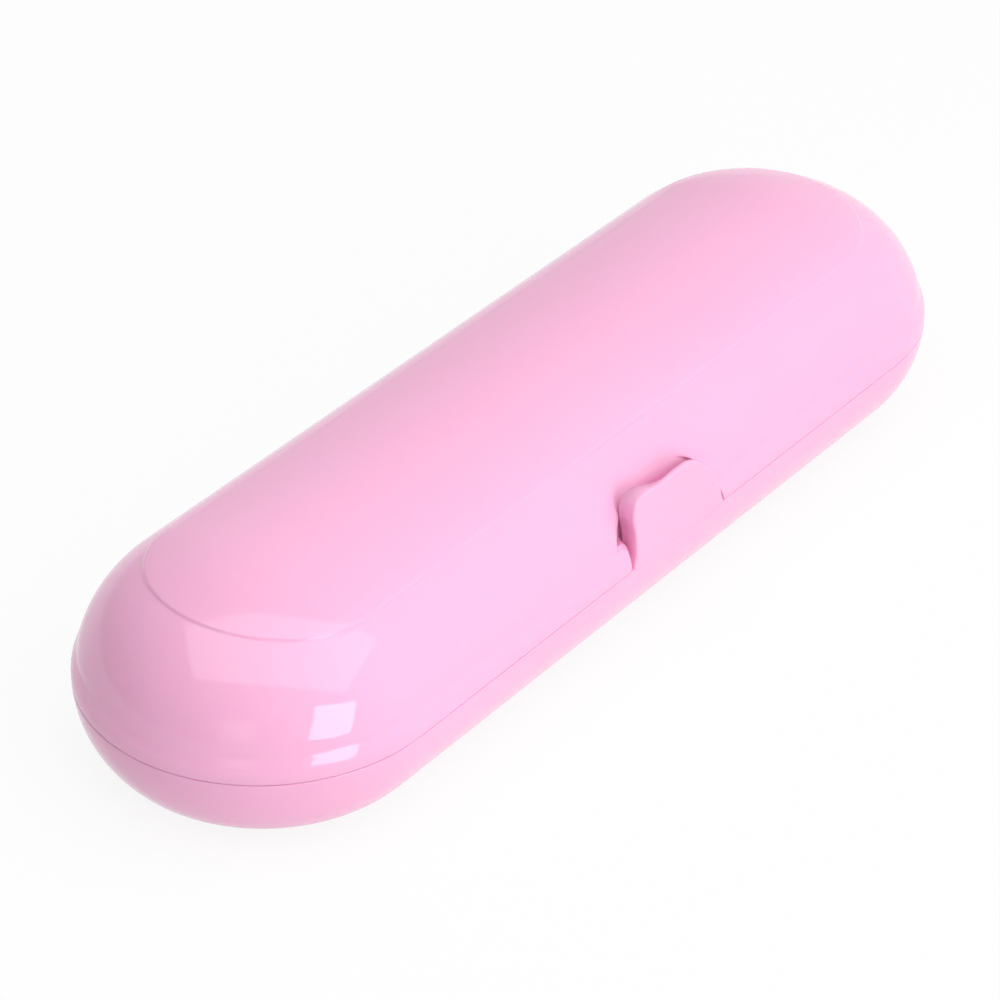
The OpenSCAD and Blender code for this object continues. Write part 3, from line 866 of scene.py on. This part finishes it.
def copy_along(piece, name, shift):
    """A copy of a piece with its own mesh, moved along X by shift, in mm, with its place in its mesh."""
    clear_selection()
    piece.select_set(True)
    bpy.context.view_layer.objects.active = piece
    bpy.ops.object.duplicate(linked=False)
    twin = bpy.context.object
    twin.name = twin.data.name = name
    bpy.ops.transform.translate(value=(shift * MM, 0, 0))
    bpy.ops.object.transform_apply()
    return twin


# %% Six knuckles
ACROSS, OVER = HINGE_LENGTH - TRAY_KNUCKLE, -2 * HINGE_X
first = make_knuckle("tray_knuckle_1", HINGE_X - HINGE_LENGTH / 2, TRAY_KNUCKLE, PIN_RADIUS + PRESS_FIT, -1)
tray_knuckles = [first] + [copy_along(first, "tray_knuckle_" + str(i + 2), shift)
                           for i, shift in enumerate((ACROSS, OVER, ACROSS + OVER))]
for knuckle in tray_knuckles:
    finish_piece(knuckle, "base", glossy_shell, "base_plastic")
first = make_knuckle("lid_knuckle_1", HINGE_X - LID_KNUCKLE / 2, LID_KNUCKLE, PIN_RADIUS + LOOSE_FIT, 1)
for knuckle in (first, copy_along(first, "lid_knuckle_2", OVER)):
    finish_piece(knuckle, "lid", glossy_shell, "lid_plastic")

# %% [markdown]
# ## Hinge pins
# The pins are cut from wire and their ends are chamfered, so that they can be pressed in. Each starts as
# a cylinder, and its end rims are bevelled with one flat cut.

# %% Cut the pins
clear_selection()
bpy.ops.mesh.primitive_cylinder_add(vertices=48, radius=PIN_RADIUS * MM, depth=HINGE_LENGTH * MM,
                                    rotation=(0, math.pi / 2, 0),
                                    location=(HINGE_X * MM, AXIS_OUT * MM, PARTING * MM))
pin = bpy.context.object
pin.name = pin.data.name = "steel_pin_right"
bpy.ops.object.transform_apply()
bpy.ops.object.mode_set(mode="EDIT")
round_edges(pin, 0.25, 1, lies_across)
bpy.ops.object.mode_set(mode="OBJECT")
bpy.ops.object.shade_smooth_by_angle(angle=math.radians(30))
twin = copy_along(pin, "steel_pin_left", OVER)
finish_piece(pin, "base", pin_steel, "pin_steel", "hinge_pin_right")
finish_piece(twin, "base", pin_steel, "pin_steel", "hinge_pin_left")

# %% [markdown]
# ## Saddles, forks, ribs and their rails
# Inside, upright plates hold the brush: two saddles and two forks in the tray, and two ribs in the lid.
# Each is cut to the curve of the shell that it stands in, and slides between two low rails. They are
# all drawn as outlines in the plane across the case, pulled to their thickness and lightly rounded.

# %% The shells' inner curves
PLATE = 2.4
CORNER_END = 27.82  # where the tray's inner corner meets its side, out from the middle
CEILING_EDGE = 17.26  # and where the lid's inner crown meets its shoulder


def tray_floor(y):
    """Height of the tray's inside at a place across it."""
    out = abs(y)
    if out < CORNER_CENTRE[0]:
        return WALL
    if out < CORNER_END:
        return CORNER_CENTRE[1] - math.sqrt((CORNER_RADIUS - WALL) ** 2 - (out - CORNER_CENTRE[0]) ** 2)
    return PARTING - math.sqrt(max((SIDE_RADIUS - WALL) ** 2 - (out - SIDE_CENTRE[0]) ** 2, 0))


def lid_ceiling(y):
    """Height of the lid's inside at a place across it."""
    out = abs(y)
    if out < CEILING_EDGE:
        return CROWN[1] + math.sqrt((CROWN_R - WALL) ** 2 - out ** 2)
    return SHOULDER[1] + math.sqrt((SHOULDER_R - WALL) ** 2 - (out - SHOULDER[0]) ** 2)


def stretch(a, b, steps):
    """Evenly spaced places from a to b."""
    return [a + (b - a) * i / steps for i in range(steps + 1)]


def stand_plate(name, x, outline, thickness, rounding):
    """A plate across the case with its middle at x. The outlines of both faces are rounded."""
    plate = cut_plate(name, [(x - thickness / 2, y, z) for y, z in outline], (thickness, 0, 0))
    round_edges(plate, rounding, 2, lies_across)
    even_normals(plate)
    return plate


# %% Saddles and ribs for the handle
HANDLE = (11, 18.6)
PLATE_TOP, RIB_FOOT = PARTING - 1, PARTING + 4
HANDLE_FROM, HANDLE_TO = -6, 28
SHELL_GAP, PLATE_ROUND = 0.05, 0.3
HANDLE_SITES = ((-62, 15, "rear"), (52, 13, "front"))  # x, radius round the handle, and name
for x, radius, place in HANDLE_SITES:
    across = stretch(HANDLE_FROM, HANDLE_TO, 24)
    side = math.degrees(math.asin((HANDLE[1] - PLATE_TOP) / radius))
    saddle = [(y, tray_floor(y) + SHELL_GAP) for y in across] + [(HANDLE_TO, PLATE_TOP)]
    saddle += arc(HANDLE, radius, -side, side - 180, 32) + [(HANDLE_FROM, PLATE_TOP)]
    finish_piece(stand_plate("handle_saddle_" + place, x, saddle, PLATE, PLATE_ROUND), "base", satin_inside,
                 "inner_plastic", "handle_cradle_" + place)
    side = math.degrees(math.asin((RIB_FOOT - HANDLE[1]) / radius))
    rib = [(y, lid_ceiling(y) - SHELL_GAP) for y in across] + [(HANDLE_TO, RIB_FOOT)]
    rib += arc(HANDLE, radius, side, 180 - side, 32) + [(HANDLE_FROM, RIB_FOOT)]
    finish_piece(stand_plate("lid_rib_plate_" + place, x, rib, PLATE, PLATE_ROUND), "lid", satin_inside,
                 "inner_plastic", "lid_rib_" + place)

# %% Forks for the brush heads
NECK, NECK_R, SLOT_HALF = (-17, 10), 3.2, 2.72
FORK_FROM, FORK_TO, FORK_X = -23.5, -10.5, 42
mouth = math.degrees(math.acos(SLOT_HALF / NECK_R))
fork = [(y, tray_floor(y) + SHELL_GAP) for y in stretch(FORK_FROM, FORK_TO, 8)]
fork += [(FORK_TO, PLATE_TOP), (NECK[0] + SLOT_HALF, PLATE_TOP)] + arc(NECK, NECK_R, mouth, -180 - mouth, 28)
fork += [(NECK[0] - SLOT_HALF, PLATE_TOP), (FORK_FROM, PLATE_TOP)]
fork_left = stand_plate("head_fork_left", -FORK_X, fork, PLATE, PLATE_ROUND)
fork_right = copy_along(fork_left, "head_fork_right", 2 * FORK_X)
finish_piece(fork_left, "base", satin_inside, "inner_plastic", "head_clip_left")
finish_piece(fork_right, "base", satin_inside, "inner_plastic", "head_clip_right")

# %% Rails
RAIL, RAIL_STEP, RAIL_TOP, RAIL_SINK = 1.2, 1.85, 4.8, 0.2
FLOOR_RAIL_TO, RIB_RAIL_HEIGHT = 27.6, 3


def lay_rail(name, x, outline, body, slot):
    """Two rails, one on each side of the plate at x."""
    rail = stand_plate(name, x - RAIL_STEP, outline, RAIL, 0.2)
    twin = copy_along(rail, name + "_twin", 2 * RAIL_STEP)
    finish_piece(rail, body, satin_inside, slot)
    finish_piece(twin, body, satin_inside, slot)


for x, _, place in HANDLE_SITES:
    floor_rail = [(y, tray_floor(y) - RAIL_SINK) for y in stretch(HANDLE_FROM, FLOOR_RAIL_TO, 20)]
    floor_rail += [(FLOOR_RAIL_TO, RAIL_TOP), (HANDLE_FROM, RAIL_TOP)]
    lay_rail("saddle_rail_" + place, x, floor_rail, "base", "base_plastic")
    rib_rail = [(y, lid_ceiling(y) + RAIL_SINK) for y in stretch(HANDLE_FROM, HANDLE_TO, 20)]
    rib_rail += [(y, lid_ceiling(y) - RIB_RAIL_HEIGHT) for y in stretch(HANDLE_TO, HANDLE_FROM, 20)]
    lay_rail("rib_rail_" + place, x, rib_rail, "lid", "lid_plastic")
for x, place in ((-FORK_X, "left"), (FORK_X, "right")):
    fork_rail = [(y, tray_floor(y) - RAIL_SINK) for y in stretch(FORK_FROM, FORK_TO, 6)]
    fork_rail += [(FORK_TO, RAIL_TOP), (FORK_FROM, RAIL_TOP)]
    lay_rail("fork_rail_" + place, x, fork_rail, "base", "base_plastic")

# %% [markdown]
# ## Floor, light and camera
# The case lies on a white table under soft light. Two large panels do most of it: one overhead, whose
# edge draws the faint line over the left end, and one in front, which shows as a small window on the
# shoulder. A third, much fainter, lights the left end. The white of the background is mostly in what
# the camera sees of the world, so the object is lit no brighter than its colours need.

# %% The white world
world = bpy.data.worlds.new("white_studio")
bpy.context.scene.world = world
world.use_nodes = True
sky = world.node_tree
sky.nodes.clear()
ROOM_LIGHT, MIRRORED_SHARE = 0.95, 0.3
BRIGHT_SIDE = Vector((0.93, -0.33, -0.12)).normalized()
where = add_node(sky, "ShaderNodeTexCoord").outputs["Generated"]
facing = add_node(sky, "ShaderNodeVectorMath", {0: where}, operation="DOT_PRODUCT")
facing.inputs[1].default_value = BRIGHT_SIDE
level = add_node(sky, "ShaderNodeMapRange", {"Value": facing.outputs["Value"]},
                 From_Min=-1.0, From_Max=1.0, To_Min=0.0, To_Max=ROOM_LIGHT)
soft = add_node(sky, "ShaderNodeBackground", {"Strength": level.outputs["Result"]}, Color=(1, 1, 1, 1))
white = add_node(sky, "ShaderNodeBackground", Color=(1, 1, 1, 1), Strength=1.0)
path = add_node(sky, "ShaderNodeLightPath")
# Reflections see the white room too, but mixed with its real light, or the case's dark left would glow.
shiny = add_node(sky, "ShaderNodeMath", {
    0: path.outputs["Is Glossy Ray"], 1: path.outputs["Is Transmission Ray"]}, operation="MAXIMUM")
part = add_node(sky, "ShaderNodeMath", {0: shiny.outputs[0]}, operation="MULTIPLY")
part.inputs[1].default_value = MIRRORED_SHARE
share = add_node(sky, "ShaderNodeMath", {0: path.outputs["Is Camera Ray"], 1: part.outputs[0]},
                 operation="MAXIMUM")
seen = add_node(sky, "ShaderNodeMixShader", {"Fac": share.outputs[0]})
sky.links.new(soft.outputs[0], seen.inputs[1])
sky.links.new(white.outputs[0], seen.inputs[2])
add_node(sky, "ShaderNodeOutputWorld", {"Surface": seen.outputs[0]})
print("the room is brightest towards", [round(v, 2) for v in BRIGHT_SIDE])

# %% The table
clear_selection()
bpy.ops.mesh.primitive_plane_add(size=3, location=(0, 0, 0))
table = bpy.context.object
table.name = table.data.name = "white_table"
paper = bpy.data.materials.new("white_paper_sweep")
paper.use_nodes = True
sheet = paper.node_tree
sheet.nodes.clear()
matt = add_node(sheet, "ShaderNodeBsdfDiffuse", Color=light_colour("#EAEAEA"))
glow = add_node(sheet, "ShaderNodeEmission", Color=(1, 1, 1, 1), Strength=1.01)
eye = add_node(sheet, "ShaderNodeLightPath")
# Most of what the camera and reflections see of the paper is plain white. The rest keeps the case's
# soft shadow.
SHADOW_SHARE = 0.12
mirrored = add_node(sheet, "ShaderNodeMath", {
    0: eye.outputs["Is Glossy Ray"], 1: eye.outputs["Is Transmission Ray"]}, operation="MAXIMUM")
looked_at = add_node(sheet, "ShaderNodeMath", {0: eye.outputs["Is Camera Ray"], 1: mirrored.outputs[0]},
                     operation="MAXIMUM")
kept = add_node(sheet, "ShaderNodeMapRange", {"Value": looked_at.outputs[0]}, To_Max=1 - SHADOW_SHARE)
blend = add_node(sheet, "ShaderNodeMixShader", {"Fac": kept.outputs["Result"]})
sheet.links.new(matt.outputs[0], blend.inputs[1])
sheet.links.new(glow.outputs[0], blend.inputs[2])
add_node(sheet, "ShaderNodeOutputMaterial", {"Surface": blend.outputs[0]})
table.data.materials.append(paper)

# %% Soft panels
def hang_panel(name, towards, distance, width, height, radiance, at=(0, 0, 0.03), turn=0.0):
    """A rectangular soft light, in metres. It faces the case from the direction towards."""
    lamp = bpy.data.lights.new(name, "AREA")
    lamp.shape, lamp.size, lamp.size_y = "RECTANGLE", width, height
    lamp.energy = radiance * width * height * math.pi
    panel = bpy.data.objects.new(name, lamp)
    bpy.context.scene.collection.objects.link(panel)
    aim = Vector(towards).normalized()
    panel.location = Vector(at) + aim * distance
    panel.rotation_euler = aim.to_track_quat("Z", "Y").to_euler()
    panel.rotation_euler.rotate_axis("Z", math.radians(turn))
    panel.visible_camera = False
    print(name, "hangs at", [round(v, 2) for v in panel.location])
    return panel


hang_panel("overhead_panel", (-0.11, -0.22, 1), 1.02, 1.02, 1.87, 1.6, turn=58.6)
hang_panel("front_panel", (-0.1935, -0.9508, 0.2419), 2.0, 0.88, 1.0, 5.2,
           at=(-0.088, -0.0266, 0.025), turn=-22)
hang_panel("left_panel", (-0.886, -0.381, 0.264), 2.0, 0.68, 0.6, 0.9, at=(-0.0995, -0.0167, 0.025))

# %% Camera
EYE = Vector((-0.4925, -0.3797, 0.4434))
LOOK_AT = Vector((0.0011, 0.0066, 0.0071))
LENS_MM, SENSOR_MM, ROLL = 147.0, 36, -0.218
lens = bpy.data.cameras.new("photo_camera")
lens.lens, lens.sensor_width = LENS_MM, SENSOR_MM
camera = bpy.data.objects.new("photo_camera", lens)
bpy.context.scene.collection.objects.link(camera)
camera.location = EYE
camera.rotation_euler = (EYE - LOOK_AT).to_track_quat("Z", "Y").to_euler()
camera.rotation_euler.rotate_axis("Z", math.radians(ROLL))
bpy.context.scene.camera = camera
bpy.context.scene.view_settings.view_transform = "Standard"
